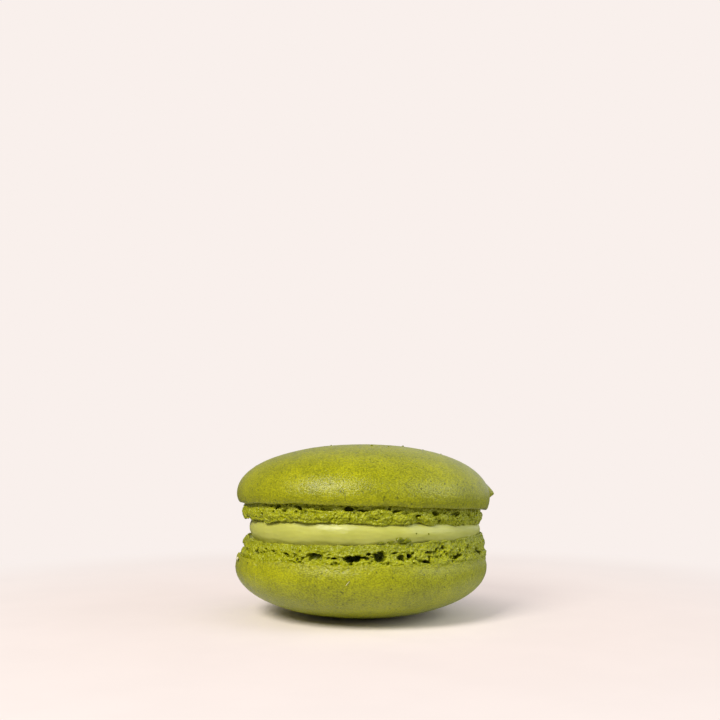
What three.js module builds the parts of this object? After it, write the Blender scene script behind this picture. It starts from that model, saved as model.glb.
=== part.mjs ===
import * as THREE from 'three';

// One macaron: two baked almond shells, each a smooth crust over a ruffled foot, and the layer of
// piped cream between them. Millimetres, +Z up, front at -Y, resting on the lower crust.

// Sizes that both shells share
const footRadius = 21.45;
const lipInnerRadius = 20.85;
const lipHeight = 0.4;       // the crumb lip over the flat inner face
const lipRounding = 0.35;

// Each shell, from its crown to its foot. Turns are counted in degrees from +X, with the front
// at -90, and a shift is measured along X.
const lowerShell = {
  crustRadius: 22.5,
  domeHeight: 9.0,
  fullness: 2.1,             // 2 makes the crust's outline an ellipse, and more makes it squarer
  crownShift: 0.4,           // how far the crown is off the middle
  rimDepth: 2.0,             // from the crust's widest ring to its edge
  rimTuck: 0.45,             // how far the crust curls in between the two
  footHeight: 3.35,
  grooveDepth: -0.35,        // how far the foot is set back at the crust, or flares out if below 0
  grooveShare: 0.3,          // of the foot's height
  flatRadius: 4.5,           // the small flat spot that it rests on
  footShift: 0.5,
  rimLift: 0.4,              // the crust's edge is nearer the foot's lip at the front
  rimReach: 0,
  peakReach: 0,
  turnedOver: false,
  seed: 11,
  scatteredCaves: 26,
};
const upperShell = {
  crustRadius: 22.75,
  domeHeight: 9.25,
  fullness: 2.12,
  crownShift: 1.2,
  rimDepth: 1.6,
  rimTuck: 0.4,
  footHeight: 2.65,
  grooveDepth: 0.4,
  grooveShare: 0.42,
  flatRadius: 1.2,
  footShift: -0.1,
  rimLift: 0,
  rimReach: 0.4,             // and on the right
  peakReach: 1.0,            // a sharp peak on the right side of the crust
  turnedOver: true,
  seed: 29,
  scatteredCaves: 26,
};

// Where the pieces stand
const lowerShift = -0.25;
const upperShift = 0.1;
const creamShift = 0.4;
const creamForward = 0.6;      // the cream has spread towards the front
const upperLipHeight = 16.95;  // the middle of the upper shell's lip, above the ground
const leanBack = 2.8;          // degrees, the upper shell's front is raised
const leanRight = 1.2;         // degrees, its right side is lowered
const fitGap = 0.3;            // between the cream and either shell

// The cream
const creamRadius = 20.6;
const creamBulge = 1.0;
const creamWave = 0.12;

// Caves in each foot's front, as [turn, rise as a share of the foot's height, width, height]
const caveDepth = 1.0;
const lowerCaves = [
  [-147, 0.37, 1.4, 0.9], [-126, 0.42, 1.4, 0.6], [-112, 0.4, 2.2, 1.2], [-95, 0.33, 3.4, 1.1],
  [-83, 0.45, 2.0, 1.7], [-74, 0.38, 1.2, 0.9], [-70, 0.41, 1.0, 0.7], [-64, 0.13, 2.4, 0.5],
  [-54, 0.7, 1.6, 0.6], [-45, 0.24, 2.4, 0.5], [-22, 0.2, 1.5, 0.8],
];
const upperCaves = [
  [-131, 0.16, 1.1, 0.7], [-127, 0.37, 1.1, 0.6], [-119, 0.26, 2.2, 0.4], [-106, 0.27, 2.5, 0.4],
  [-97, 0.19, 2.1, 0.75], [-90, 0.26, 2.0, 0.5], [-75, 0.27, 1.5, 0.4], [-71, 0.36, 1.5, 0.4],
  [-56, 0.34, 1.1, 0.85], [-43, 0.33, 1.8, 0.65], [-33, 0.38, 1.2, 0.7], [-25, 0.36, 1.0, 0.7],
];

// How finely each surface is divided
const columns = 120;
const domeRows = 8;
const domeCrowding = 1.25;     // above 1, the rows crowd towards the widest ring
const footRises = [0, 0.14, 0.28, 0.42, 0.58, 0.74, 0.88, 1];
const creamRows = 6;

// The peak's place and size on the crust
const peakTurn = 0;
const peakHeight = 8.4;
const peakSpread = 1.0;

const radians = THREE.MathUtils.degToRad;
const smooth = (value) => THREE.MathUtils.smoothstep(value, 0, 1);

// Random numbers from 0 to 1, the same ones each time for one seed
function randomSource(seed) {
  let state = seed;
  return () => {
    state = (state * 1664525 + 1013904223) % 4294967296;
    return state / 4294967296;
  };
}

// A closed wavy curve round the piece, between about -1 and 1, from a few cosines
function wave(seed, frequencies) {
  const random = randomSource(seed);
  const terms = frequencies.map((frequency) => [frequency, random() * 2 * Math.PI]);
  const scale = 1.6 / frequencies.length;
  return (angle) => scale * terms.reduce((sum, [frequency, phase]) => (
    sum + Math.cos(frequency * angle + phase)), 0);
}

// The shortest way round from one angle to another
function turnBetween(from, to) {
  return Math.atan2(Math.sin(to - from), Math.cos(to - from));
}

// Turns a profile about Z, then moves each point to the radius and height that shape gives it, and
// along X and Y by its shift
function turnedSolid(profile, shape) {
  const outline = profile.map((row) => new THREE.Vector2(row.radius, row.height));
  const geometry = new THREE.LatheGeometry(outline, columns);
  const position = geometry.attributes.position;
  for (let index = 0; index < position.count; index += 1) {
    const row = profile[index % profile.length];
    const column = Math.floor(index / profile.length) % columns;
    const angle = (2 * Math.PI * column) / columns;
    const [radius, height, shiftX, shiftY = 0] = shape(row, angle);
    position.setXYZ(index, radius * Math.cos(angle) + shiftX, radius * Math.sin(angle) + shiftY, height);
  }
  geometry.computeVertexNormals();
  return geometry;
}

// The caves of one foot: those of its front, and smaller ones scattered round the rest
function footCaves(shell, frontCaves) {
  const random = randomSource(shell.seed);
  const scattered = Array.from({ length: shell.scatteredCaves }, (_, index) => [
    -10 + (200 * (index + random())) / shell.scatteredCaves,
    0.2 + 0.4 * random(),
    1.2 + 1.2 * random(),
    0.6 + 0.5 * random(),
  ]);
  const side = shell.turnedOver ? -1 : 1;
  return [...frontCaves, ...scattered].map(([turn, rise, width, height]) => ({
    angle: radians(side * turn), rise, width, height,
  }));
}

// The levels of one shell, from the ground under its crown. The crust's outline is the curve
// (r / R)^n + (1 - h / D)^n = 1, with the fullness as n, and is cut flat at the crown.
function shellLevels(shell) {
  const { crustRadius, domeHeight, fullness, flatRadius } = shell;
  const flatAngle = Math.asin((flatRadius / crustRadius) ** (fullness / 2));
  const crownCut = domeHeight * (1 - Math.cos(flatAngle) ** (2 / fullness));
  const rimHeight = domeHeight - crownCut + shell.rimDepth;
  return { flatAngle, crownCut, rimHeight, lipTop: rimHeight + shell.footHeight };
}

// Crown on the ground and foot upwards. The crust's edge curls in, and the foot behind it is set
// back in a groove or flares out, is ruffled and pitted, and ends in a low lip.
function shellGeometry(shell, frontCaves) {
  const { crustRadius, domeHeight, fullness } = shell;
  const { flatAngle, crownCut, rimHeight, lipTop } = shellLevels(shell);

  const profile = [{ part: 'centre', radius: 0, height: 0 }];
  for (let row = 0; row <= domeRows; row += 1) {
    const share = 1 - (1 - row / domeRows) ** domeCrowding;
    const angle = flatAngle + (Math.PI / 2 - flatAngle) * share;
    profile.push({
      part: 'crust',
      radius: crustRadius * Math.sin(angle) ** (2 / fullness),
      height: domeHeight * (1 - Math.cos(angle) ** (2 / fullness)) - crownCut,
      edge: 0,
    });
  }
  [0.55, 1].forEach((edge) => {
    profile.push({
      part: 'crust',
      radius: crustRadius - shell.rimTuck * edge ** 2,
      height: rimHeight - shell.rimDepth * (1 - edge),
      edge,
    });
  });
  footRises.forEach((rise) => {
    profile.push({ part: 'foot', radius: footRadius, height: rimHeight + shell.footHeight * rise, rise });
  });
  profile.push({ part: 'lip', radius: lipInnerRadius, height: lipTop - lipHeight });
  profile.push({ part: 'centre', radius: 0, height: lipTop - lipHeight });

  const side = shell.turnedOver ? -1 : 1;
  const caves = footCaves(shell, frontCaves);
  const crustWave = wave(shell.seed + 1, [2, 3, 5]);
  const rimWave = wave(shell.seed + 2, [4, 7, 11, 17]);
  const ruffle = wave(shell.seed + 3, [9, 13, 19, 27]);
  const ruffleBelow = wave(shell.seed + 4, [8, 15, 23, 31]);
  const scallop = wave(shell.seed + 5, [7, 12, 18, 26]);

  const peak = (angle, height) => {
    const across = turnBetween(radians(side * peakTurn), angle) * crustRadius;
    const distance = Math.hypot(across, height - peakHeight) / peakSpread;
    return shell.peakReach * Math.max(0, 1 - distance);
  };

  const rimOffset = (angle) => (
    0.14 * rimWave(angle) - shell.rimLift * Math.sin(side * angle)
      + shell.rimReach * Math.max(0, Math.cos(angle)) ** 2
  );

  const crownOffset = (height) => shell.crownShift * Math.max(0, 1 - height / domeHeight) ** 3;

  const crustPoint = (row, angle) => {
    const share = row.radius / crustRadius;
    const radius = row.radius + 0.12 * share * crustWave(angle) + peak(angle, row.height);
    return [radius, row.height + row.edge * rimOffset(angle), crownOffset(row.height)];
  };

  const footPoint = (row, angle) => {
    let radius = footRadius - shell.grooveDepth * (1 - smooth(row.rise / shell.grooveShare));
    radius -= lipRounding * smooth((row.rise - 0.7) / 0.3);
    radius += smooth(row.rise / shell.grooveShare) * 0.22 * (
      (1 - row.rise) * ruffle(angle) + row.rise * ruffleBelow(angle));
    caves.forEach((cave) => {
      const across = (turnBetween(cave.angle, angle) * footRadius) / (cave.width / 2);
      const along = ((row.rise - cave.rise) * shell.footHeight) / (cave.height / 2);
      radius -= caveDepth * Math.max(0, 1 - (across ** 2 + along ** 2) / 2.5);
    });
    const height = row.height
      + (1 - row.rise) * rimOffset(angle)
      + 0.2 * row.rise ** 2 * scallop(angle);
    return [radius, height, shell.footShift];
  };

  return turnedSolid(profile, (row, angle) => {
    if (row.part === 'crust') return crustPoint(row, angle);
    if (row.part === 'foot') return footPoint(row, angle);
    if (row.part === 'lip') return [row.radius, row.height, shell.footShift];
    return [row.radius, row.height, crownOffset(row.height)];
  });
}

// A round pat of cream with a bulging side. Its underside is level and its top follows the
// leaning shell above it, whose inner face is the plane through topPoint with that normal.
function creamGeometry(underside, topPoint, normal) {
  const profile = [{ share: 0, reach: 0 }];
  for (let row = 0; row <= creamRows; row += 1) {
    profile.push({ share: row / creamRows, reach: 1 });
  }
  profile.push({ share: 1, reach: 0 });
  profile.forEach((row) => {
    row.radius = row.reach * creamRadius;
    row.height = row.share;
  });
  const sideWave = wave(53, [3, 5, 8, 13]);
  return turnedSolid(profile, (row, angle) => {
    const bulge = creamBulge * (2 * row.share - 1) ** 2;
    const radius = row.reach * (creamRadius - bulge + creamWave * sideWave(angle));
    const x = radius * Math.cos(angle) + creamShift;
    const y = radius * Math.sin(angle) - creamForward;
    const across = normal.x * (x - topPoint.x) + normal.y * (y - topPoint.y);
    const top = topPoint.z - across / normal.z;
    return [radius, underside + row.share * (top - underside), creamShift, -creamForward];
  });
}

const bakedCrust = new THREE.MeshStandardMaterial({ color: 0xa5a521, roughness: 0.5, metalness: 0 });
const bakedCrustAbove = bakedCrust.clone();
const paleCream = new THREE.MeshStandardMaterial({ color: 0xcecb68, roughness: 0.4, metalness: 0 });

const macaron = new THREE.Group();

const lower = new THREE.Mesh(shellGeometry(lowerShell, lowerCaves), bakedCrust);
lower.name = 'lower_shell';
lower.position.x = lowerShift;
macaron.add(lower);

// The upper shell is turned over about its lip, which leans with this group
const lean = new THREE.Group();
lean.position.set(upperShift, 0, upperLipHeight);
lean.rotation.set(radians(-leanBack), radians(leanRight), 0);
const upper = new THREE.Mesh(shellGeometry(upperShell, upperCaves), bakedCrustAbove);
upper.name = 'upper_shell';
upper.rotation.x = Math.PI;
upper.position.z = shellLevels(upperShell).lipTop;
lean.add(upper);
macaron.add(lean);

const underside = shellLevels(lowerShell).lipTop - lipHeight + fitGap;
const topPoint = new THREE.Vector3(0, 0, lipHeight - fitGap).applyEuler(lean.rotation).add(lean.position);
const normal = new THREE.Vector3(0, 0, 1).applyEuler(lean.rotation);
const cream = new THREE.Mesh(creamGeometry(underside, topPoint, normal), paleCream);
cream.name = 'filling';
macaron.add(cream);

export default macaron;
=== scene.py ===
"""A green tea macaron in its finished look, laid out as an add-on and run as a script.

Shapes are worked out in millimetres and put into the meshes in metres. The macaron stands on z = 0
with its front at -Y. Turns round it are counted from +X, so the front is at -90 degrees. A shell is
worked out in a frame of its own, with its crown on the ground and its foot above, and is then put
in its place.
"""

import math
from itertools import product

import bpy
import numpy as np
from bpy.props import FloatProperty, FloatVectorProperty, IntProperty, PointerProperty
from bpy.types import Operator, Panel, PropertyGroup
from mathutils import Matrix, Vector


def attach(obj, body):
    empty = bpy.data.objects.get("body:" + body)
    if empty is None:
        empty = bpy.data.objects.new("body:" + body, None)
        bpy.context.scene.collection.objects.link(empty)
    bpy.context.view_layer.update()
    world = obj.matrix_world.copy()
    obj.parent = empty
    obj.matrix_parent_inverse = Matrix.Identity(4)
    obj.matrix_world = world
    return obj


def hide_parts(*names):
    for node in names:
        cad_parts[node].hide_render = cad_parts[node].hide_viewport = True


bl_info = {
    "name": "Macaron",
    "version": (1, 0, 0),
    "blender": (4, 5, 0),
    "location": "View3D > Sidebar > Macaron",
    "description": "Builds the crusts, ruffled feet, cream and crumbs of one macaron",
    "category": "Add Mesh",
}

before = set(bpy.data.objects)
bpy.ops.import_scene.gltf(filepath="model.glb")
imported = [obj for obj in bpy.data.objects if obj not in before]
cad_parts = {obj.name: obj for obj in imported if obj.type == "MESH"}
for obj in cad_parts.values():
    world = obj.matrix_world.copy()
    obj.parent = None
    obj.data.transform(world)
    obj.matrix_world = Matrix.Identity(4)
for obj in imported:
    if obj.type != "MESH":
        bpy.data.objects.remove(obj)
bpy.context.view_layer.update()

MM = 0.001
BODY = "root"

# Caves in the front of each foot: turn in degrees, rise as a share of the foot's height, width,
# height, slant in degrees, and depth as a share of the deepest
LOWER_CAVES = [
    (-147.3, 0.37, 1.4, 0.9, 0, 0.3), (-139.1, 0.68, 0.6, 0.4, 0, 0.4),
    (-134.4, 0.59, 0.9, 0.4, 0, 0.5), (-126.1, 0.42, 1.4, 0.6, -25, 0.35),
    (-123.3, 0.79, 0.5, 0.3, 0, 0.4), (-112.4, 0.40, 2.2, 1.2, 10, 0.45),
    (-103.1, 0.34, 0.9, 0.45, 20, 0.7), (-95.0, 0.33, 3.4, 1.1, 0, 1.0),
    (-88.0, 0.57, 0.7, 0.55, 0, 0.35), (-83.2, 0.45, 2.2, 1.7, 0, 0.5),
    (-76.6, 0.61, 1.6, 0.3, 5, 0.35), (-73.8, 0.38, 1.2, 0.9, 0, 0.35),
    (-70.1, 0.41, 1.0, 0.7, -20, 0.9), (-63.9, 0.13, 2.4, 0.5, -10, 1.0),
    (-61.5, 0.58, 1.1, 0.5, 0, 0.4), (-56.3, 0.66, 0.8, 0.5, 30, 0.5),
    (-52.5, 0.75, 0.8, 0.5, -30, 0.5), (-45.0, 0.24, 2.4, 0.5, 12, 0.6),
    (-22.5, 0.20, 1.5, 0.8, 0, 0.5),
]
UPPER_CAVES = [
    (-131.5, 0.16, 1.1, 0.7, 0, 1.0), (-126.6, 0.37, 1.1, 0.6, -30, 0.6),
    (-119.1, 0.26, 2.2, 0.35, 20, 0.9), (-110.6, 0.26, 0.8, 0.35, 0, 0.6),
    (-105.7, 0.27, 2.5, 0.4, 0, 0.4), (-96.2, 0.19, 1.5, 0.75, 0, 1.0),
    (-90.2, 0.27, 1.8, 0.35, 0, 0.45), (-78.2, 0.18, 0.5, 0.6, 0, 0.6),
    (-74.9, 0.27, 1.4, 0.35, -12, 0.6), (-71.1, 0.36, 1.5, 0.35, -10, 0.8),
    (-64.9, 0.53, 0.75, 0.3, 0, 0.9), (-56.0, 0.34, 1.1, 0.85, 0, 1.0),
    (-43.2, 0.33, 1.8, 0.65, -10, 0.5), (-33.1, 0.38, 1.2, 0.7, 30, 0.5),
    (-25.0, 0.36, 1.0, 0.7, -30, 0.5),
]

# Crumbs on the side of the cream: turn in degrees, height above the ground, length, height, thickness
CREAM_CRUMBS = [
    (-74.2, 15.2, 1.3, 0.8, 0.35), (-70.6, 15.0, 1.2, 0.75, 0.4), (-72.2, 14.85, 1.6, 0.5, 0.3),
    (-78.3, 14.85, 1.2, 0.3, 0.1), (-83.0, 14.7, 1.2, 0.3, 0.15), (-66.1, 16.1, 0.3, 0.25, 0.08),
    (-59.7, 15.93, 0.3, 0.35, 0.1), (-47.0, 15.69, 0.4, 0.2, 0.08),
]

# Flakes on the lower crust's widest ring: turn in degrees, height above the ground, length, height,
# thickness, slant in degrees
RIM_FLAKES = [(-163, 10.6, 1.2, 0.5, 0.25, 10), (-95.5, 8.4, 1.0, 0.09, 0.07, 48)]

# The painted shade line of a crease in the upper crust: where its lower end is along X, and the heights of
# its two ends
CREASE_X, CREASE_LOW, CREASE_HIGH = -2.6, 21.5, 23.8

# How far the cream is pushed to the right and to the front
CREAM_SHIFT = np.array([0.4, -0.6, 0])

# Grains that stick to the upper crust: turn in degrees, distance from the crown, size
CROWN_CRUMBS = [
    (-88.0, 8.5, 0.45), (-70.0, 9.5, 0.3), (-20.0, 6.2, 0.4), (5.0, 9.8, 0.35), (25.0, 12.0, 0.35),
    (-2.0, 13.2, 0.3), (-150.0, 8.0, 0.25), (120.0, 9.0, 0.3),
]

# The soft lights, in metres: place, width and colour
KEY_LIGHT = ((-0.22, -0.33, 0.33), 0.19, (1.0, 0.975, 0.9))
FILL_LIGHT = ((0.40, -0.14, 0.22), 0.30, (0.82, 0.9, 1.0))
LIGHT_AIM = (0, 0, 0.015)
CAMERA_X = -0.4 * MM


def size_property(name, description, millimetres):
    """A length that a user can change."""
    return FloatProperty(name=name, description=description, default=millimetres * MM, unit="LENGTH")


def colour_property(name, description, colour):
    """A colour that a user can change."""
    return FloatVectorProperty(
        name=name, description=description, default=colour, subtype="COLOR", min=0, max=1)


class MacaronShape(PropertyGroup):
    """The macaron's driving sizes."""

    lower_radius: size_property("Lower radius", "Widest radius of the lower crust", 22.5)
    upper_radius: size_property("Upper radius", "Widest radius of the upper crust", 22.75)
    lower_dome: size_property("Lower dome", "Height of the lower crust up to its widest ring", 9.0)
    upper_dome: size_property("Upper dome", "Height of the upper crust above its widest ring", 9.25)
    lower_rim: size_property("Lower rim", "From the lower crust's widest ring to its edge", 2.0)
    upper_rim: size_property("Upper rim", "From the upper crust's widest ring to its edge", 1.6)
    lower_foot: size_property("Lower foot", "Height of the lower shell's ruffled foot", 3.35)
    upper_foot: size_property("Upper foot", "Height of the upper shell's ruffled foot", 2.65)
    foot_radius: size_property("Foot radius", "Radius of the feet", 21.45)
    cave_depth: size_property("Cave depth", "How deep the caves go into the feet", 2.2)
    lip_height: size_property("Lip height", "Height of the crumbly lip over a shell's inner face", 0.4)
    upper_lip: size_property(
        "Upper lip", "Height of the middle of the upper shell's lip over the ground", 16.95)
    lean_back: FloatProperty(
        name="Lean back", description="How far the upper shell's front is raised",
        default=math.radians(2.8), subtype="ANGLE")
    lean_right: FloatProperty(
        name="Lean right", description="How far the upper shell's right side is lowered",
        default=math.radians(1.2), subtype="ANGLE")
    cream_radius: size_property("Cream radius", "Radius of the cream where it bulges most", 20.6)
    seed: IntProperty(
        name="Seed", description="Draws another crumb with the same sizes", default=4)


class MacaronFinish(PropertyGroup):
    """The macaron's colours."""

    crust: colour_property("Crust", "Green tea crust", (0.475, 0.466, 0.002))
    # The specks colour is also that of the painted shade in pinholes and along the crease
    crust_dark: colour_property(
        "Crust specks", "Darker grain and tea specks in the crust", (0.155, 0.165, 0.003))
    crumb: colour_property("Crumb", "Open crumb of the feet", (0.418, 0.43, 0.002))
    # The hollows colour is also that of the painted shade in the feet's caves, bubbles and gaps between
    # lumps
    crumb_dark: colour_property("Crumb hollows", "Crumb inside the caves", (0.08, 0.095, 0.003))
    # The grains colour is also that of the painted highlight on bead tips, the painted light in the upper
    # groove and under the lip, and the painted glints on the crust
    crumb_pale: colour_property("Almond grains", "Pale grains on the crumb", (0.60, 0.61, 0.06))
    crumb_moist: colour_property(
        "Moist crumbs", "Crumbs that cream has soaked into", (0.22, 0.235, 0.004))
    flake: colour_property("Pale flakes", "Dry flakes on the lower crust", (0.80, 0.72, 0.50))
    cream: colour_property("Cream", "Pale green cream", (0.56, 0.55, 0.112))
    floor: colour_property("Floor", "Pale floor round the macaron", (0.98, 0.87, 0.84))
    floor_seen: colour_property(
        "Floor glow", "Even glow of the floor, which thins its shadows", (0.95, 0.82, 0.765))
    backdrop: colour_property(
        "Backdrop", "Plain pale backdrop that the camera sees", (0.947, 0.871, 0.839))


class MacaronStage(PropertyGroup):
    """The camera and the studio light."""

    lens: FloatProperty(
        name="Lens", description="Focal length of the camera, in millimetres", default=50.4)
    distance: size_property("Distance", "From the camera to the macaron's middle", 182.3)
    eye_height: size_property("Eye height", "Height of the camera over the floor", 30.9)
    horizon_drop: FloatProperty(
        name="Horizon drop",
        description="From the picture's middle down to the horizon, as a share of its height",
        default=82 / 720)
    key_power: FloatProperty(
        name="Key light", description="Power of the large soft light at the front left", default=2.66)
    fill_power: FloatProperty(
        name="Fill light", description="Power of the soft light at the right", default=0.9)
    left_sky: FloatProperty(
        name="Left sky", description="Strength of the light from all round, on the left", default=0.2)
    right_sky: FloatProperty(
        name="Right sky", description="Strength of the light from all round, on the right", default=0.73)


# Repeatable random numbers and waves, in step with the solids of the frame

def random_source(seed):
    """Random numbers from 0 to 1: each state is the last one times 1664525 plus 1013904223."""
    state = seed
    while True:
        state = (state * 1664525 + 1013904223) % 4294967296
        yield state / 4294967296


def wave(seed, frequencies):
    """A closed wavy curve round the macaron: a sum of cosines with random phases."""
    source = random_source(seed)
    terms = [(frequency, next(source) * 2 * math.pi) for frequency in frequencies]
    scale = 1.6 / len(frequencies)
    return lambda angle: scale * sum(np.cos(n * angle + phase) for n, phase in terms)


def smooth(value, low=0.0, high=1.0):
    """From 0 at low to 1 at high along the cubic 3t² - 2t³."""
    t = np.clip((value - low) / (high - low), 0, 1)
    return t * t * (3 - 2 * t)


def cap(distance, radius):
    """The height of a half ball of height 1 at a distance from its middle, and 0 outside it."""
    return np.sqrt(np.maximum(0, 1 - (distance / radius) ** 2))


def all_round(columns):
    """A row of angles that go once round."""
    return np.linspace(0, 2 * np.pi, columns, endpoint=False)[None, :]


def turn_between(start, end):
    """The shortest way round from one angle to another."""
    return np.arctan2(np.sin(end - start), np.cos(end - start))


# Noise in space, worked out on whole arrays of points

def hashed(cell, salt):
    """A repeatable random number from 0 to 1 for each whole-numbered cell, from its mixed bits."""
    mixed = np.full(cell.shape[:-1], (salt * 0x9E3779B1) & 0xFFFFFFFF, np.uint32)
    for axis, prime in enumerate((0x8DA6B343, 0xD8163841, 0xCB1AB31F)):
        mixed ^= cell[..., axis].astype(np.uint32) * np.uint32(prime)
    for shift, prime in ((16, 0x7FEB352D), (15, 0x846CA68B)):
        mixed ^= mixed >> np.uint32(shift)
        mixed *= np.uint32(prime)
    mixed ^= mixed >> np.uint32(16)
    return mixed / 4294967296


def noise(points, size, salt):
    """Smooth noise from about -1 to 1 with bumps of that size: a random slope at each corner of a
    cubic cell, blended by 6t⁵ - 15t⁴ + 10t³."""
    scaled = points / size
    cell = np.floor(scaled).astype(np.int64)
    inside = scaled - cell
    blend = inside ** 3 * (inside * (inside * 6 - 15) + 10)
    total = np.zeros(points.shape[:-1])
    for corner in product((0, 1), repeat=3):
        corner = np.array(corner)
        weight = np.prod(np.where(corner == 1, blend, 1 - blend), axis=-1)
        slope = np.stack([hashed(cell + corner, salt * 3 + k) * 2 - 1 for k in range(3)], axis=-1)
        total += weight * np.sum(slope * (inside - corner), axis=-1)
    return total * 1.5


def cells(points, size, salt):
    """Cellular noise: each cubic cell holds one random point. Gives the distance to the nearest of
    them, in cells, and that point's own random number."""
    scaled = points / size
    cell = np.floor(scaled).astype(np.int64)
    nearest = np.full(points.shape[:-1], 9.0)
    chosen = np.zeros(points.shape[:-1])
    for step in product((-1, 0, 1), repeat=3):
        other = cell + np.array(step)
        spot = other + np.stack([hashed(other, salt * 5 + k) for k in range(3)], axis=-1)
        distance = np.linalg.norm(scaled - spot, axis=-1)
        closer = distance < nearest
        nearest = np.where(closer, distance, nearest)
        chosen = np.where(closer, hashed(other, salt * 5 + 3), chosen)
    return nearest, chosen


# Meshes

def ring_mesh(name, points, material, slot, **values):
    """A mesh of one or more closed grids of points, rows by columns, in millimetres. The first and
    the last row are poles, and the columns run round. Each further value becomes an attribute."""
    rows, columns = points.shape[-3:-1]
    stack = points.reshape(-1, rows, columns, 3)

    def packed(grids):
        return np.concatenate([grids[:, :1, 0], grids[:, 1:-1].reshape(len(grids), -1, *grids.shape[3:]),
                               grids[:, -1:, 0]], axis=1)

    flat = packed(stack) * MM
    rings = 1 + np.arange((rows - 2) * columns).reshape(rows - 2, columns)
    after = np.roll(rings, -1, axis=1)
    last = flat.shape[1] - 1
    quads = np.stack([rings[:-1], after[:-1], after[1:], rings[1:]], axis=-1).reshape(-1, 4)
    start_fan = np.stack([np.zeros(columns, int), after[0], rings[0]], axis=-1)
    end_fan = np.stack([rings[-1], after[-1], np.full(columns, last)], axis=-1)
    corners = np.concatenate([quads.ravel(), start_fan.ravel(), end_fan.ravel()])
    corners = (corners[None, :] + flat.shape[1] * np.arange(len(stack))[:, None]).ravel()
    counts = np.tile(np.concatenate([np.full(len(quads), 4), np.full(2 * columns, 3)]), len(stack))

    mesh = bpy.data.meshes.new(name)
    mesh.vertices.add(flat.size // 3)
    mesh.vertices.foreach_set("co", flat.astype(np.float32).ravel())
    mesh.loops.add(len(corners))
    mesh.loops.foreach_set("vertex_index", corners.astype(np.int32))
    mesh.polygons.add(len(counts))
    mesh.polygons.foreach_set("loop_start", (np.cumsum(counts) - counts).astype(np.int32))
    mesh.update(calc_edges=True)
    mesh.shade_smooth()
    for key, grid in values.items():
        value = packed(np.broadcast_to(grid, points.shape[:-1]).reshape(-1, rows, columns)).ravel()
        mesh.attributes.new(key, "FLOAT", "POINT").data.foreach_set("value", value.astype(np.float32))
    return add_piece(name, mesh, material, slot)


def add_piece(name, mesh, material, slot):
    """Links a finished mesh as a piece of the macaron."""
    mesh.materials.append(material)
    piece = bpy.data.objects.new(name, mesh)
    bpy.context.scene.collection.objects.link(piece)
    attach(piece, BODY)
    return piece


def displaced(points, amount):
    """Moves a grid of points along its own normals, found from its neighbours on the grid."""
    along = np.gradient(points, axis=0)
    around = np.roll(points, -1, axis=1) - np.roll(points, 1, axis=1)
    normal = np.cross(around, along)
    length = np.linalg.norm(normal, axis=-1, keepdims=True)
    return points + amount[..., None] * normal / np.maximum(length, 1e-9)


def around_axis(radius, height, angle, shift=0.0):
    """Points at those radii and heights round the Z axis, moved along X by shift."""
    return np.stack([radius * np.cos(angle) + shift, radius * np.sin(angle),
                     np.broadcast_to(height, radius.shape)], axis=-1)


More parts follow.
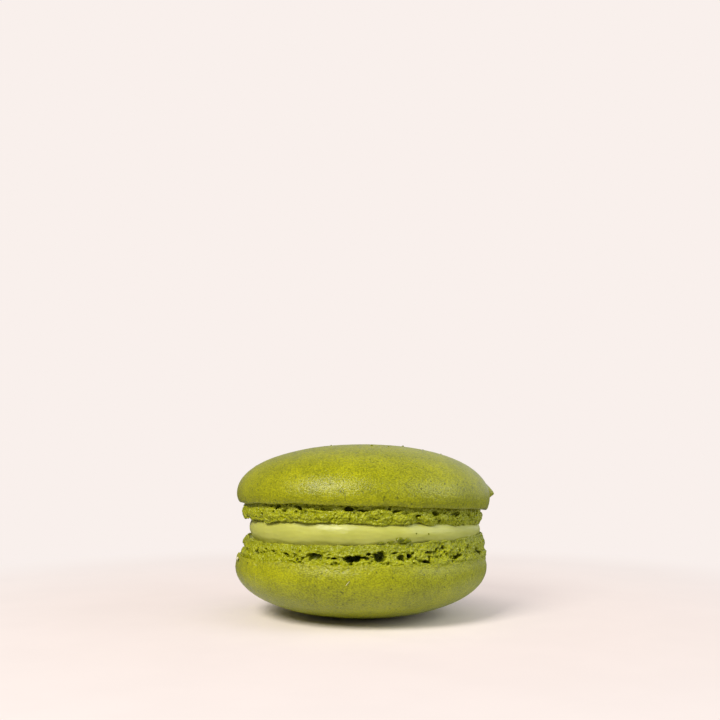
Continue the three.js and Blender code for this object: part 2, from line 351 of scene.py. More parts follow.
class Shell:
    """One baked shell: its sizes in millimetres, its waves, and its place in the macaron."""

    # The small peak: where it is round the shell and above the crown, and how far it reaches along
    # the edge, towards the crown and towards the edge
    PEAK_TURN = 0.0
    PEAK_HEIGHT = 8.4
    PEAK_SPREAD = 2.0
    PEAK_TO_CROWN = 2.4
    PEAK_TO_EDGE = 0.9
    EDGE_ROLL = 0.4
    LIP_ROUNDING = 0.35
    LIP_INNER_RADIUS = 20.85
    SCATTERED_CAVES = 26
    LUMP_SIZE = 1.8
    BEAD_SIZE = 0.55
    BUBBLE_SIZE = 0.8
    # Where the zones of the crumb begin, as shares of the foot's height
    ZONES = (0.0, 0.45, 0.7, 1.0)

    def __init__(self, shape, upper):
        self.upper = upper
        self.side = -1 if upper else 1
        self.crust_radius = (shape.upper_radius if upper else shape.lower_radius) / MM
        self.rim_depth = (shape.upper_rim if upper else shape.lower_rim) / MM
        self.foot_radius = shape.foot_radius / MM
        self.cave_depth = shape.cave_depth / MM
        self.lip_height = shape.lip_height / MM
        self.dome = (shape.upper_dome if upper else shape.lower_dome) / MM
        self.foot = (shape.upper_foot if upper else shape.lower_foot) / MM
        self.rim_tuck = 0.4 if upper else 0.45
        self.fullness = 2.12 if upper else 2.1
        self.crown_shift = 1.2 if upper else 0.4
        self.flat_radius = 1.2 if upper else 4.5
        self.foot_shift = -0.1 if upper else 0.5
        self.shift = 0.1 if upper else -0.25
        self.rim_lift = 0.0 if upper else 0.4
        self.rim_reach = 0.4 if upper else 0.0
        self.groove = 0.4 if upper else -0.35
        self.groove_share = 0.42 if upper else 0.3
        self.rim_crumb = 0.0 if upper else 1.0
        self.lip_scallop = 0.2 if upper else 0.08
        self.lip_slope = 0.0 if upper else 0.2
        self.smooth_turn = math.radians(-85 * self.side)
        # How rough the foot is, and the share of its cells that are burst bubbles, in each zone
        # from the crust's edge to the lip
        self.relief = (0.9, 1.05, 1.15, 1.0) if upper else (1.15, 1.35, 0.9, 0.75)
        self.bubbles = (0.5, 0.15, 0.05, 0.03) if upper else (0.45, 0.6, 0.08, 0.02)
        self.peak_reach = 1.0 if upper else 0.0
        self.lip = shape.upper_lip / MM
        self.lean_back = shape.lean_back
        self.lean_right = shape.lean_right
        self.seed = 29 if upper else 11
        self.salt = shape.seed * 100 + (50 if upper else 0)

        self.cut = self.dome_level(self.flat_radius, 0)
        self.rim_height = self.dome - self.cut + self.rim_depth
        self.lip_top = self.rim_height + self.foot
        self.crust_wave = wave(self.seed + 1, (2, 3, 5))
        self.rim_wave = wave(self.seed + 2, (4, 7, 11, 17))
        self.ruffle = wave(self.seed + 3, (9, 13, 19, 27))
        self.ruffle_below = wave(self.seed + 4, (8, 15, 23, 31))
        self.scallop = wave(self.seed + 5, (7, 12, 18, 26))
        self.groove_wave = wave(self.seed + 6, (14, 22, 33, 47))

    def dome_level(self, radius, cut=None):
        """The crust's height at a radius, on the curve (r / R)^n + (1 - h / D)^n = 1 of fullness n."""
        n = self.fullness
        height = self.dome * (1 - (1 - (radius / self.crust_radius) ** n) ** (1 / n))
        return height - (self.cut if cut is None else cut)

    def crown_offset(self, height):
        """How far the crust is moved along X at a height, so that its crown is off the middle."""
        return self.crown_shift * np.maximum(0, 1 - height / self.dome) ** 3

    def rim_offset(self, angle):
        """How far the crust's edge is from its level, round the shell."""
        return (0.14 * self.rim_wave(angle) - self.rim_lift * np.sin(self.side * angle)
                + self.rim_reach * np.maximum(0, np.cos(angle)) ** 2)

    def caves(self):
        """The caves of the foot's front, and smaller ones scattered evenly round the rest."""
        source, other_source = random_source(self.seed), random_source(self.seed + 7)
        scattered = [
            (-10 + 200 * (index + next(source)) / self.SCATTERED_CAVES,
             0.2 + 0.4 * next(source), 1.2 + 1.2 * next(source), 0.6 + 0.5 * next(source),
             50 * next(other_source) - 25, 0.1 + 0.9 * next(other_source) ** 2)
            for index in range(self.SCATTERED_CAVES)
        ]
        front = UPPER_CAVES if self.upper else LOWER_CAVES
        return [(math.radians(self.side * turn), rise, width, height,
                 math.radians(self.side * slant), depth)
                for turn, rise, width, height, slant, depth in front + scattered]

    def placed(self, points):
        """From the shell's own frame into the macaron's. The upper shell is turned over about the
        X axis, stood on its lip, and leaned: first to the right about Y, then back about X."""
        if not self.upper:
            return points + np.array([self.shift, 0, 0])
        over = points * np.array([1, -1, -1]) + np.array([0, 0, self.lip_top])
        c, s = math.cos(self.lean_right), math.sin(self.lean_right)
        right = np.array([[c, 0, s], [0, 1, 0], [-s, 0, c]])
        c, s = math.cos(-self.lean_back), math.sin(-self.lean_back)
        back = np.array([[1, 0, 0], [0, c, -s], [0, s, c]])
        return over @ (back @ right).T + np.array([self.shift, 0, self.lip])


def crust_points(shell, columns=640):
    """A grid of the crust in its own frame, with how crumbly it is at each point.

    Rows run from the crown: r = R sin(t)^(2/n) and h = D (1 - cos(t)^(2/n)), an ellipse where the
    fullness n is 2, cut flat at the crown; the edge, which curls in by the square of its depth; the
    round of the rim; and the underside, which goes back to the axis inside the foot. The
    crown is moved off the middle, the lower crust's edge is crumbly and torn, and the upper
    crust's has a small peak."""
    angle = all_round(columns)
    roll = shell.EDGE_ROLL
    lean = math.atan(2 * shell.rim_tuck / shell.rim_depth)
    power = 2 / shell.fullness
    dome = np.concatenate([[0.0], np.linspace(0.02, 1, 92)]) * np.pi / 2
    edge = np.linspace(0, 1, 23)[1:]
    turn = np.linspace(lean, np.pi / 2, 8)[1:]
    under = np.linspace(0, 1, 8)[1:]
    end_radius = shell.crust_radius - shell.rim_tuck - roll * math.cos(lean)
    radius = np.concatenate([
        shell.crust_radius * np.sin(dome) ** power,
        shell.crust_radius - shell.rim_tuck * edge ** 2,
        end_radius + roll * np.cos(turn),
        end_radius * (1 - under),
    ])
    height = np.concatenate([
        np.maximum(shell.dome * (1 - np.cos(dome) ** power) - shell.cut, 0),
        shell.rim_height - shell.rim_depth + (shell.rim_depth - roll * (1 - math.sin(lean))) * edge,
        shell.rim_height - roll + roll * np.sin(turn),
        shell.rim_height - 0.35 * smooth(under, 0, 0.2),
    ])
    near_rim = np.concatenate([
        np.zeros(len(dome)), edge, np.ones(len(turn)), np.ones(len(under)),
    ])
    outside = np.concatenate([
        np.ones(len(dome) + len(edge)), 1 - smooth(turn, lean, np.pi / 2), np.zeros(len(under)),
    ])
    share = (radius / shell.crust_radius)[:, None]
    ring = radius[:, None] + 0.12 * share * shell.crust_wave(angle)
    level = height[:, None] + near_rim[:, None] * shell.rim_offset(angle)
    points = around_axis(ring, level, np.broadcast_to(angle, ring.shape))

    away = np.minimum(1, np.hypot(points[..., 0], points[..., 1]) / (shell.flat_radius + 1.5))
    relief = 0.07 * noise(points, 7.0, shell.salt) * away
    relief += 0.015 * noise(points, 1.1, shell.salt + 1)
    relief += 0.012 * noise(points, 0.55, shell.salt + 2)
    spot, pick = cells(points, 2.6, shell.salt + 3)
    relief += 0.07 * (pick < 0.35) * (1 - smooth(spot, 0, 0.13))
    ragged = near_rim[:, None] + 0.22 * noise(points, 0.8, shell.salt + 4)
    crumbly = shell.rim_crumb * smooth(ragged, 0.68, 0.92)
    bead, _ = cells(points, shell.BEAD_SIZE, shell.salt + 5)
    relief += crumbly * (0.3 * cap(bead, 0.9) - 0.12)
    on_flat = (level <= 1e-6) & (not shell.upper)
    relief = np.where(on_flat, 0, relief) * outside[:, None]
    points = displaced(points, relief)
    torn = 0.35 * noise(points, 1.1, shell.salt + 6) + 0.2 * noise(points, 0.5, shell.salt + 7)
    points[..., 2] += shell.rim_crumb * torn * smooth(near_rim, 0.4, 1)[:, None] * outside[:, None]
    points[0] = [0, 0, height[0]]
    points[-1] = [0, 0, height[-1]]
    points[..., 0] += shell.crown_offset(height)[:, None]

    across = turn_between(math.radians(shell.side * shell.PEAK_TURN), angle) * shell.crust_radius
    above = points[..., 2] - shell.PEAK_HEIGHT
    spread = np.where(above > 0, shell.PEAK_TO_EDGE, shell.PEAK_TO_CROWN)
    reach = np.sqrt((across / shell.PEAK_SPREAD) ** 2 + (above / spread) ** 2 + 0.2 ** 2)
    peak = shell.peak_reach * 1.35 * np.maximum(0, 1 - reach) ** 1.4 * outside[:, None]
    points[..., 0] += peak * np.cos(angle)
    points[..., 1] += peak * np.sin(angle)
    return points, crumbly


def foot_points(shell, columns=1300):
    """A grid of the ruffled foot in the shell's own frame, with painted shade for how far each point is in
    a hollow, painted light on the tip of a bead, in the upper groove and under the lip, and how rough the
    crumb is there.

    Rows run from inside the crust: the face, ruffled by waves, which is set back behind the upper
    crust's edge and swells over the lower one's; the round of the lip; and the flat inner face,
    back to the axis. Lumps crowded with beads, burst bubbles and caves then move the surface
    along its normal."""
    angle = all_round(columns)
    face, edge, inner = np.linspace(-0.2, 1, 54), np.linspace(0, 1, 13)[1:], np.array([0.97, 0.9, 0.6, 0])
    starts = np.array([0, 0.8, 0.96])
    rise = np.concatenate([np.full(3, face[0]), face, np.ones(len(edge) + len(inner))])[:, None]
    lip = np.concatenate([np.zeros(3 + len(face)), edge, np.ones(len(inner))])[:, None]
    inward = np.concatenate([starts, np.ones(len(face) + len(edge)), inner])[:, None]
    on_flat = np.concatenate([np.zeros(3 + len(face) + len(edge)), np.ones(len(inner))])[:, None]
    share = np.clip(rise, 0, 1)
    shown = smooth(rise, -0.2, -0.02) * (1 - smooth(lip, 0.7, 1))

    groove_end = shell.groove_share * (1 + 0.28 * shell.groove_wave(angle))
    in_groove = 1 - smooth(rise / groove_end, 0.45, 1)
    face_radius = shell.foot_radius - shell.groove * in_groove - shell.LIP_ROUNDING * smooth(share, 0.7, 1)
    ruffled = smooth(share, 0, shell.groove_share) * 0.22 * (
        (1 - share) * shell.ruffle(angle) + share * shell.ruffle_below(angle))
    ring = inward * (face_radius + (shell.LIP_INNER_RADIUS - 0.1 - face_radius) * lip) + ruffled * shown
    lip_level = shell.lip_top + 0.16 * np.sin(np.pi * lip) - shell.lip_height * smooth(lip, 0.45, 1)
    level = np.where(lip > 0, lip_level, shell.rim_height + shell.foot * rise)
    level = np.where(on_flat > 0, shell.lip_top - shell.lip_height, level)
    uneven = (shell.lip_scallop * shell.scallop(angle)
              + shell.lip_slope * (np.cos(angle) + np.sin(2 * (angle + np.radians(85)))))
    level = level + shown * ((1 - share) * shell.rim_offset(angle) + share ** 2 * uneven)
    points = around_axis(ring, level, np.broadcast_to(angle, ring.shape))

    salt = shell.salt + 10
    bent = points + 0.22 * np.stack([noise(points, 0.9, salt + k) for k in range(3)], axis=-1)
    lump, _ = cells(bent, shell.LUMP_SIZE, salt + 3)
    bead, _ = cells(bent, shell.BEAD_SIZE, salt + 4)
    bubble, pick = cells(bent, shell.BUBBLE_SIZE, salt + 5)
    zone = np.clip(share + 0.16 * np.cos(3 * (angle - shell.smooth_turn))
                   + 0.15 * noise(points, 1.3, salt + 9), 0, 1)
    rough = np.interp(zone, shell.ZONES, shell.relief)
    raised = rough * (0.52 * cap(lump, 0.95) - 0.39 + 0.27 * cap(bead, 0.9) - 0.155)
    raised += 0.04 * noise(points, 0.28, salt + 6)
    crowd = np.interp(zone, shell.ZONES, shell.bubbles)
    bubbles = 0.5 * (pick < crowd) * (1 - smooth(bubble, 0.15, 0.55))

    hollow = np.zeros(ring.shape)
    ragged = noise(points, 0.7, salt + 7) + 0.5 * noise(points, 0.35, salt + 8)
    for turn, cave_rise, width, tall, slant, depth in shell.caves():
        across = turn_between(turn, angle) * shell.foot_radius
        along = (share - cave_rise) * shell.foot
        lengthways = (across * math.cos(slant) + along * math.sin(slant)) / (width / 2)
        crossways = (along * math.cos(slant) - across * math.sin(slant)) / (tall / 2)
        reach = np.sqrt(lengthways ** 2 + crossways ** 2) + 0.42 * ragged
        hollow = np.maximum(hollow, depth * (1 - smooth(reach, 0.75, 1.15)))
    relief = raised * (1 - 0.6 * hollow) - bubbles - shell.cave_depth * hollow
    points = displaced(points, relief * shown)
    points[0] = [0, 0, level[0, 0]]
    points[-1] = [0, 0, level[-1, 0]]
    points[..., 0] += shell.foot_shift
    # Painted light on the lip's round and inner face, which are also kept free of painted shade
    under_lip = smooth(lip, 0.05, 0.4)
    # Painted shade between the lumps
    crevice_shade = 0.5 * smooth(-raised, 0.0, 0.35) * (1 - in_groove)
    # Painted shade of all hollows: caves, bubbles and gaps between lumps, kept off the lip
    deep = (1 - under_lip) * np.clip(1.3 * hollow + bubbles + crevice_shade, 0, 1)
    # Painted highlight on the raised tips of beads
    tip = smooth(raised, 0.0, 0.22) * (1 - deep) * shown
    # Painted light in the upper foot's groove, which lies in the crust's shade; there the crumb also counts
    # as fully rough
    groove_painted_light = in_groove * (not shell.rim_crumb)
    return points, {"hollow": deep, "tip": tip + 3 * groove_painted_light + 2 * under_lip,
                    "rough": np.clip(rough + groove_painted_light, 0, 1)}


def cream_points(shape, lower, upper, columns=720):
    """A grid of the cream: a round pat whose side bulges as R - (2t - 1)² between a level
    underside and a top that follows the leaning shell above it, with a soft uneven surface."""
    angle = all_round(columns)
    share = np.concatenate([[0, 0], np.linspace(0, 1, 80), [1, 1]])[:, None]
    reach = np.concatenate([[0, 0.8], np.ones(80), [0.8, 0]])[:, None]
    side_wave = wave(53, (3, 5, 8, 13))
    cream_radius = shape.cream_radius / MM
    sunk = 0.05
    bulge = (2 * share - 1) ** 2
    radius = reach * (cream_radius - bulge + 0.12 * side_wave(angle))
    plane = upper.placed(np.array([[0, 0, upper.lip_top - upper.lip_height + sunk],
                                   [1, 0, upper.lip_top - upper.lip_height + sunk],
                                   [0, 1, upper.lip_top - upper.lip_height + sunk]]))
    normal = np.cross(plane[1] - plane[0], plane[2] - plane[0])
    x = radius * np.cos(angle) + CREAM_SHIFT[0]
    y = radius * np.sin(angle) + CREAM_SHIFT[1]
    top = plane[0, 2] - (normal[0] * (x - plane[0, 0]) + normal[1] * (y - plane[0, 1])) / normal[2]
    underside = lower.lip_top - lower.lip_height - sunk
    points = np.stack([x, y, underside + share * (top - underside)], axis=-1)
    on_side = np.concatenate([[0, 0], np.ones(80), [0, 0]])[:, None]
    relief = 0.09 * noise(points * np.array([1, 1, 1.6]), 3.4, 71)
    relief += 0.03 * noise(points * np.array([1, 1, 2.5]), 1.3, 72)
    return displaced(points, relief * on_side)


def blob_points(centre, outward, thick, length, tall, salt, slant=0.0):
    """A grid of one crumb: a ball squashed along outward and turned about it by slant degrees, its
    surface pushed about by noise."""
    theta = np.linspace(0, np.pi, 14)[:, None]
    phi = all_round(24)
    ball = np.stack([np.sin(theta) * np.cos(phi), np.sin(theta) * np.sin(phi),
                     np.cos(theta) * np.ones_like(phi)], axis=-1)
    bumpy = ball * (1 + 0.45 * noise(ball + salt, 0.8, salt))[..., None]
    bumpy[[0, -1]] = bumpy[[0, -1]].mean(axis=1, keepdims=True)
    sideways = np.cross(np.array([0, 0, 1.0]), outward)
    sideways /= np.linalg.norm(sideways)
    upwards = np.cross(outward, sideways)
    c, s = math.cos(math.radians(slant)), math.sin(math.radians(slant))
    sideways, upwards = c * sideways + s * upwards, c * upwards - s * sideways
    return centre + bumpy @ np.stack([thick * outward, length / 2 * sideways, tall / 2 * upwards])


def crumb_points(shape, lower, upper):
    """Grids of all crumbs, and how pale each is: those on the side of the cream, those on the upper
    crust, whose level and slope give their place and the way they face, and those on the lower
    crust's widest ring."""
    grids = []
    for index, (turn, height, length, tall, thick) in enumerate(CREAM_CRUMBS):
        a = math.radians(turn)
        outward = np.array([math.cos(a), math.sin(a), 0])
        centre = outward * (shape.cream_radius / MM - 0.03) + CREAM_SHIFT + np.array([0, 0, height])
        grids.append(blob_points(centre, outward, thick, length, tall, 90 + index))
    for index, (turn, distance, size) in enumerate(CROWN_CRUMBS):
        a = math.radians(-turn)
        level = upper.dome_level(distance)
        slope = (upper.dome_level(distance + 0.1) - level) / 0.1
        outward = np.array([slope * math.cos(a), slope * math.sin(a), -1])
        base = np.array([distance * math.cos(a) + upper.crown_offset(level), distance * math.sin(a), level])
        middle, tip = upper.placed(np.stack([base, base + outward]))
        outward = (tip - middle) / np.linalg.norm(tip - middle)
        grids.append(blob_points(middle, outward, size * 0.45, size, size * 0.8, 120 + index))
    green = len(grids)
    for index, (turn, height, length, tall, thick, slant) in enumerate(RIM_FLAKES):
        a = math.radians(turn)
        outward = np.array([math.cos(a), math.sin(a), 0])
        centre = outward * lower.crust_radius + np.array([lower.shift, 0, height])
        grids.append(blob_points(centre, outward, thick, length, tall, 140 + index, slant))
    pale = np.arange(len(grids)) >= green
    return np.stack(grids), pale[:, None, None] * 1.0


# Shader maths

class Value:
    """A socket that carries numbers. Arithmetic on it adds Math nodes."""

    def __init__(self, paint, socket):
        self.paint = paint
        self.socket = socket

    def maths(self, operation, *others):
        node = self.paint.node("ShaderNodeMath", {"operation": operation},
                               dict(enumerate((self, *others))))
        return Value(self.paint, node.outputs[0])

    def __add__(self, other):
        return self.maths("ADD", other)

    __radd__ = __add__

    def __mul__(self, other):
        return self.maths("MULTIPLY", other)

    __rmul__ = __mul__

    def __sub__(self, other):
        return self.maths("SUBTRACT", other)

    def __rsub__(self, other):
        return (self * -1) + other

    def ramp(self, low, high):
        """From 0 where the value is low to 1 where it is high, smoothly."""
        node = self.paint.node("ShaderNodeMapRange", {"interpolation_type": "SMOOTHSTEP"},
                               {"Value": self, "From Min": low, "From Max": high})
        return Value(self.paint, node.outputs[0])


class Paint:
    """Builds the nodes of one material or of the world."""

    def __init__(self, owner, coordinates="Object"):
        self.owner = owner
        owner.use_nodes = True
        self.tree = owner.node_tree
        self.tree.nodes.clear()
        self.place = self.node("ShaderNodeTexCoord").outputs[coordinates]

    def node(self, kind, settings=None, inputs=None):
        """Adds a node, with its settings set first, then the values or links of its sockets."""
        node = self.tree.nodes.new(kind)
        for key, value in (settings or {}).items():
            setattr(node, key, value)
        for key, value in (inputs or {}).items():
            if isinstance(value, Value):
                value = value.socket
            if isinstance(value, bpy.types.NodeSocket):
                self.tree.links.new(value, node.inputs[key])
            else:
                node.inputs[key].default_value = value
        return node

    def grain(self, size, detail=2.0, stretch=(1, 1, 1)):
        """Noise from about 0 to 1 whose bumps are size millimetres, stretched along the axes."""
        place = self.node("ShaderNodeMapping", {"vector_type": "POINT"}, {
            "Vector": self.place, "Scale": tuple(1 / s for s in stretch)}).outputs[0]
        node = self.node("ShaderNodeTexNoise", None, {
            "Vector": place, "Scale": 1 / (size * MM), "Detail": detail, "Roughness": 0.55})
        return Value(self, node.outputs["Fac"])

    def spots(self, size, output="Distance"):
        """Cell noise with one random spot in each cell of size millimetres."""
        node = self.node("ShaderNodeTexVoronoi", {"feature": "F1"}, {
            "Vector": self.place, "Scale": 1 / (size * MM)})
        if output == "Distance":
            return Value(self, node.outputs["Distance"])
        split = self.node("ShaderNodeSeparateColor", None, {"Color": node.outputs["Color"]})
        return Value(self, node.outputs["Distance"]), Value(self, split.outputs[0])

    def attribute(self, name):
        """A number stored on the mesh."""
        node = self.node("ShaderNodeAttribute", {"attribute_name": name})
        return Value(self, node.outputs["Fac"])

    def mix(self, factor, first, second):
        """Goes from the first colour to the second as factor goes from 0 to 1."""
        node = self.node("ShaderNodeMix", {"data_type": "RGBA"}, {0: factor, 6: first, 7: second})
        return node.outputs[2]

    def bump(self, height, distance, strength=1.0, normal=None):
        """Raises the surface by height times distance millimetres."""
        inputs = {"Height": height, "Distance": distance * MM, "Strength": strength}
        if normal is not None:
            inputs["Normal"] = normal
        return self.node("ShaderNodeBump", None, inputs).outputs[0]

    def surface(self, **inputs):
        """The finished shader. Names are those of the sockets, with underscores for spaces."""
        shader = self.node("ShaderNodeBsdfPrincipled", None, {
            key.replace("_", " "): value for key, value in inputs.items()})
        self.node("ShaderNodeOutputMaterial", None, {"Surface": shader.outputs[0]})
        return self.owner


def rgba(colour):
    """A colour with its alpha."""
    return (*colour, 1.0)


def crease_shade(paint):
    """The painted shade of a fine crease in the front of the upper crust: 1 on the line
    x = x0 + s (z - z0), which wanders with noise, and 0 away from it and past its two ends."""
    part = paint.node("ShaderNodeSeparateXYZ", None, {"Vector": paint.place})
    x, y, z = (Value(paint, part.outputs[axis]) for axis in "XYZ")
    wander = (paint.grain(0.8, 1.0) - 0.5) * (0.9 * MM)
    off = (x - (CREASE_X * MM) + 0.35 * (z - CREASE_LOW * MM) + wander).maths("ABSOLUTE")
    ends = (z.ramp(CREASE_LOW * MM, (CREASE_LOW + 0.3) * MM)
            * (1 - z.ramp((CREASE_HIGH - 0.3) * MM, CREASE_HIGH * MM)))
    return (1 - off.ramp(0.03 * MM, 0.09 * MM)) * ends * (1 - y.ramp(-10 * MM, -9 * MM))


def crust_material(finish):
    """Satin crust: yellow green, mottled, with fine darker grain, tea specks, pinholes painted darker as
    their shade, a painted shade line along a crease, a few pale grit specks painted as glints, and pale
    grains where its edge is crumbly."""
    paint = Paint(bpy.data.materials.new("crust"))
    crumbly = paint.attribute("crumbly")
    cloudy = paint.grain(6.0, 2.0)
    mottled = paint.grain(1.6, 3.0)
    fine = paint.grain(0.3, 3.0, (1, 1, 0.7))
    spot, pick = paint.spots(1.1, "Both")
    speck = (1 - spot.ramp(0.09, 0.22)) * (1 - pick.ramp(0.35, 0.45))
    # Pinholes: dented by the bump and painted darker as their shade
    pin, pin_pick = paint.spots(1.8, "Both")
    pinhole = (1 - pin.ramp(0.05, 0.11)) * (1 - pin_pick.ramp(0.6, 0.7))
    # Pale grit specks, painted as glints of light
    grit, grit_pick = paint.spots(2.3, "Both")
    glint = (1 - grit.ramp(0.03, 0.08)) * (1 - grit_pick.ramp(0.5, 0.6))
    # Painted shade in the pinholes and along the crease; the rest is the crust's own tone and tea specks
    dark = (fine.ramp(0.66, 0.34) * 0.6 + mottled.ramp(0.62, 0.36) * 0.13
            + cloudy.ramp(0.65, 0.35) * 0.16 + speck * 0.9 + pinhole * 0.8 + crease_shade(paint) * 0.8)
    colour = paint.mix(dark, rgba(finish.crust), rgba(finish.crust_dark))
    colour = paint.mix(glint * 0.7, colour, rgba(finish.crumb_pale))
    bead = paint.spots(0.42)
    colour = paint.mix(crumbly * bead.ramp(0.55, 0.2) * 0.15, colour, rgba(finish.crumb_pale))
    height = (fine * 0.9 + mottled * 0.5 - pinhole * 1.2 + paint.grain(0.18, 1.0) * 0.4
              - paint.spots(0.6) * 0.25 - crumbly * bead * 1.2)
    return paint.surface(
        Base_Color=colour,
        Roughness=0.24 + 0.08 * mottled + 0.08 * fine + 0.15 * crumbly,
        Normal=paint.bump(height, 0.09),
        Specular_IOR_Level=0.4,
        Subsurface_Weight=0.1,
        Subsurface_Radius=(1.0, 0.8, 0.15),
        Subsurface_Scale=0.5 * MM,
    )


def crumb_material(finish):
    """Open crumb: pale almond grains on its lumps, a painted highlight on bead tips, painted light in
    the upper groove and under the lip, painted shade in bubbles and caves and between lumps, and darker
    where it is smooth."""
    paint = Paint(bpy.data.materials.new("crumb"))
    # hollow carries the painted shade of caves, bubbles and gaps between lumps; tip carries the painted
    # highlight on bead tips and the painted light in the upper groove and under the lip
    hollow = paint.attribute("hollow")
    tip = paint.attribute("tip")
    rough = paint.attribute("rough")
    mottled = paint.grain(0.9, 3.0)
    fine = paint.grain(0.22, 2.0)
    bead, pick = paint.spots(0.5, "Both")
    grains = bead.ramp(0.5, 0.15) * pick.ramp(0.55, 0.7) * (1 - hollow) * rough
    # Darker towards crumb_dark as painted shade in the hollows, by the crumb's own mottling, and where it
    # is smooth
    dark = (hollow * 1.1 + (mottled.ramp(0.62, 0.36) * 0.25 + fine.ramp(0.62, 0.36) * 0.2) * rough
            + (1 - rough) * 1.2)
    colour = paint.mix(dark, rgba(finish.crumb), rgba(finish.crumb_dark))
    # Paler towards the almond colour for real grains and for the painted light that tip carries
    colour = paint.mix(grains * 0.35 + tip * 0.14, colour, rgba(finish.crumb_pale))
    return paint.surface(
        Base_Color=colour,
        Roughness=0.3,
        Normal=paint.bump((fine * 0.4 + mottled * 0.5 - bead * 1.1) * (0.3 + 0.7 * rough), 0.26),
        Specular_IOR_Level=0.32,
        Subsurface_Weight=0.05,
        Subsurface_Radius=(1.0, 0.8, 0.15),
        Subsurface_Scale=0.3 * MM,
    )


def cream_material(finish):
    """Smooth soft cream that lets light in, with faint streaks of its spreading."""
    paint = Paint(bpy.data.materials.new("cream"))
    streaks = paint.grain(1.6, 2.0, (1.6, 1.6, 0.9))
    cloudy = paint.grain(4.0, 1.0)
    deeper = tuple(c * f for c, f in zip(finish.cream, (0.86, 0.87, 0.72)))
    colour = paint.mix(streaks.ramp(0.6, 0.35) * 0.2 + cloudy.ramp(0.6, 0.4) * 0.4,
                       rgba(finish.cream), rgba(deeper))
    return paint.surface(
        Base_Color=colour,
        Roughness=0.34 + 0.1 * streaks,
        Normal=paint.bump(streaks + 0.25 * paint.grain(0.4), 0.05),
        Specular_IOR_Level=0.48,
        Subsurface_Weight=0.4,
        Subsurface_Radius=(1.0, 0.95, 0.4),
        Subsurface_Scale=1.0 * MM,
    )


def moist_crumb_material(finish):
    """Moist crumbs, darker and greener than dry ones, and a few pale flakes."""
    paint = Paint(bpy.data.materials.new("moist_crumb"))
    mottled = paint.grain(0.5, 3.0)
    colour = paint.mix(mottled.ramp(0.65, 0.35) * 0.6, rgba(finish.crumb_moist), rgba(finish.crumb_dark))
    colour = paint.mix(paint.attribute("pale"), colour, rgba(finish.flake))
    return paint.surface(
        Base_Color=colour,
        Roughness=0.15 + 0.1 * mottled,
        Normal=paint.bump(mottled, 0.1),
        Specular_IOR_Level=0.3,
    )


def floor_material(finish):
    """Pale matt floor, which lights the macaron from below where it is near. To the camera it
    passes into the even backdrop with distance."""
    paint = Paint(bpy.data.materials.new("floor"))
    distance = Value(paint, paint.node("ShaderNodeVectorMath", {"operation": "LENGTH"},
                                       {0: paint.place}).outputs["Value"])
    seen = Value(paint, paint.node("ShaderNodeLightPath").outputs["Is Camera Ray"])
    far = distance.ramp(0.035, 0.12)
    # The floor glows to the camera as painted light, which thins its shadows from 12 mm out and becomes the
    # backdrop far off
    glow = far.maths("MAXIMUM", 0.72 * distance.ramp(0.012, 0.04)) * seen
    black = (0, 0, 0, 1)
    bounce = paint.mix(distance.ramp(0.024, 0.06), (0.78, 0.77, 0.74, 1), (0.2, 0.2, 0.2, 1))
    shade = tuple(c * 0.95 for c in finish.floor)
    clouded = paint.mix(paint.grain(20.0, 3.0).ramp(0.35, 0.65), rgba(finish.floor), rgba(shade))
    light = paint.mix(far, rgba(finish.floor_seen), rgba(finish.backdrop))
    return paint.surface(
        Base_Color=paint.mix(glow, paint.mix(seen, bounce, clouded), black),
        Roughness=0.75,
        Specular_IOR_Level=0.0,
        Emission_Color=paint.mix(glow, black, light),
        Emission_Strength=1.0,
    )


def both_shells(context):
    """The two shells, lower first."""
    shape = context.scene.macaron_shape
    return Shell(shape, False), Shell(shape, True)


class MACARON_OT_crusts(Operator):
    """Adds the smooth crusts of both shells"""

    bl_idname = "macaron.crusts"
    bl_label = "Add the crusts"

    def execute(self, context):
        material = crust_material(context.scene.macaron_finish)
        for shell, name in zip(both_shells(context), ("lower", "upper")):
            points, crumbly = crust_points(shell)
            piece = ring_mesh(f"{name}_crust", shell.placed(points), material, "baked_shell",
                              crumbly=crumbly)
            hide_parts(f"{name}_shell")
        return {"FINISHED"}


class MACARON_OT_feet(Operator):
    """Adds the ruffled feet of both shells"""

    bl_idname = "macaron.feet"
    bl_label = "Add the feet"

    def execute(self, context):
        material = crumb_material(context.scene.macaron_finish)
        for shell, name in zip(both_shells(context), ("lower", "upper")):
            points, values = foot_points(shell)
            piece = ring_mesh(f"{name}_foot", shell.placed(points), material, "baked_shell", **values)
            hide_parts(f"{name}_shell")
        return {"FINISHED"}


class MACARON_OT_cream(Operator):
    """Adds the layer of cream"""

    bl_idname = "macaron.cream"
    bl_label = "Add the cream"

    def execute(self, context):
        shape = context.scene.macaron_shape
        lower, upper = both_shells(context)
        material = cream_material(context.scene.macaron_finish)
        piece = ring_mesh("cream", cream_points(shape, lower, upper), material, "cream")
        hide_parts("filling")
        return {"FINISHED"}


class MACARON_OT_crumbs(Operator):
    """Adds the loose crumbs on the cream and on the crusts"""

    bl_idname = "macaron.crumbs"
    bl_label = "Add the crumbs"

    def execute(self, context):
        points, pale = crumb_points(context.scene.macaron_shape, *both_shells(context))
        material = moist_crumb_material(context.scene.macaron_finish)
        ring_mesh("crumbs", points, material, "baked_shell", pale=pale)
        return {"FINISHED"}


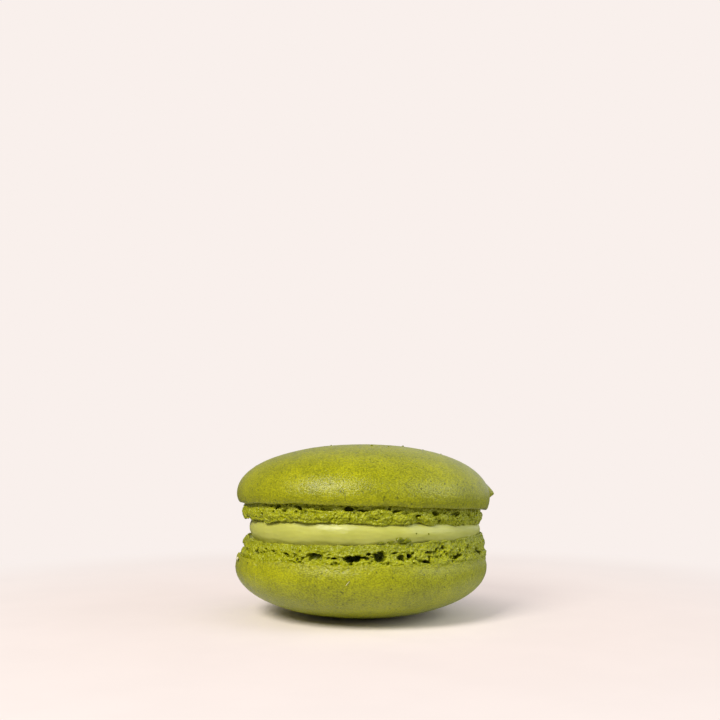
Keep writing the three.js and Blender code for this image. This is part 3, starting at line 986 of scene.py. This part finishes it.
class MACARON_OT_stage(Operator):
    """Adds the floor, the light and the camera"""

    bl_idname = "macaron.stage"
    bl_label = "Add the stage"

    def execute(self, context):
        scene = context.scene
        stage = scene.macaron_stage
        self.add_floor(scene)
        self.add_light(scene, "key", stage.key_power, *KEY_LIGHT)
        self.add_light(scene, "fill", stage.fill_power, *FILL_LIGHT)
        self.add_sky(scene, stage, scene.macaron_finish)
        self.add_camera(scene, stage)
        scene.view_settings.view_transform = "Standard"
        return {"FINISHED"}

    def add_floor(self, scene):
        columns, radius = 96, 1.6 / MM
        angle = all_round(columns)
        rings = np.array([0, 0.02, 0.1, 0.4, 1.0, 1.0, 0])[:, None] * radius
        level = np.array([0, 0, 0, 0, 0, -10, -10])[:, None]
        points = around_axis(rings * np.ones_like(angle), level * np.ones_like(angle),
                             np.broadcast_to(angle, (7, columns)))[::-1]
        floor = ring_mesh("floor", points, floor_material(scene.macaron_finish), "cream")
        floor.parent = None

    def add_light(self, scene, name, power, place, size, colour):
        light = bpy.data.lights.new(name, "AREA")
        light.energy = power
        light.size = size
        light.color = colour
        lamp = bpy.data.objects.new(name, light)
        lamp.location = place
        aim = Vector(LIGHT_AIM) - lamp.location
        lamp.rotation_euler = aim.to_track_quat("-Z", "Y").to_euler()
        scene.collection.objects.link(lamp)

    def add_sky(self, scene, stage, finish):
        """Light from all round, brightest at the back on the right, and dimmer from above. The
        camera sees the even backdrop in its place."""
        paint = Paint(bpy.data.worlds.new("studio"), "Generated")
        part = paint.node("ShaderNodeSeparateXYZ", None, {"Vector": paint.place})
        x, y, z = (Value(paint, part.outputs[axis]) for axis in "XYZ")
        right = (0.85 * x + 0.5 * y).ramp(-0.1, 0.9)
        sideways = stage.left_sky + (stage.right_sky - stage.left_sky) * right
        strength = sideways * (1 - 0.4 * z.ramp(0.2, 1.0))
        light = paint.node("ShaderNodeBackground", None, {
            "Color": (0.97, 0.98, 1.0, 1), "Strength": strength})
        plain = paint.node("ShaderNodeBackground", None, {
            "Color": rgba(finish.backdrop), "Strength": 1.0})
        seen = paint.node("ShaderNodeLightPath").outputs["Is Camera Ray"]
        mixed = paint.node("ShaderNodeMixShader", None, {
            0: seen, 1: light.outputs[0], 2: plain.outputs[0]})
        paint.node("ShaderNodeOutputWorld", None, {"Surface": mixed.outputs[0]})
        scene.world = paint.owner

    def add_camera(self, scene, stage):
        camera = bpy.data.cameras.new("camera")
        camera.lens = stage.lens
        camera.sensor_width = 36
        camera.shift_y = stage.horizon_drop
        camera.clip_start = 0.01
        holder = bpy.data.objects.new("camera", camera)
        holder.location = (CAMERA_X, -stage.distance, stage.eye_height)
        holder.rotation_euler = (math.pi / 2, 0, 0)
        scene.collection.objects.link(holder)
        scene.camera = holder


class MACARON_PT_sidebar(Panel):
    """Lists the macaron's sizes, colours and steps"""

    bl_idname = "MACARON_PT_sidebar"
    bl_label = "Macaron"
    bl_space_type = "VIEW_3D"
    bl_region_type = "UI"
    bl_category = "Macaron"

    def draw(self, context):
        scene = context.scene
        for group in (scene.macaron_shape, scene.macaron_finish, scene.macaron_stage):
            box = self.layout.box()
            for name in group.__annotations__:
                box.prop(group, name)
        for step in STEPS:
            self.layout.operator(step.bl_idname)


STEPS = (MACARON_OT_crusts, MACARON_OT_feet, MACARON_OT_cream, MACARON_OT_crumbs, MACARON_OT_stage)
CLASSES = (MacaronShape, MacaronFinish, MacaronStage, *STEPS, MACARON_PT_sidebar)


def register():
    for entry in CLASSES:
        bpy.utils.register_class(entry)
    bpy.types.Scene.macaron_shape = PointerProperty(type=MacaronShape)
    bpy.types.Scene.macaron_finish = PointerProperty(type=MacaronFinish)
    bpy.types.Scene.macaron_stage = PointerProperty(type=MacaronStage)


def unregister():
    del bpy.types.Scene.macaron_stage
    del bpy.types.Scene.macaron_finish
    del bpy.types.Scene.macaron_shape
    for entry in reversed(CLASSES):
        bpy.utils.unregister_class(entry)


def main():
    register()
    bpy.ops.macaron.crusts()
    bpy.ops.macaron.feet()
    bpy.ops.macaron.cream()
    bpy.ops.macaron.crumbs()
    bpy.ops.macaron.stage()


if __name__ == "__main__":
    main()
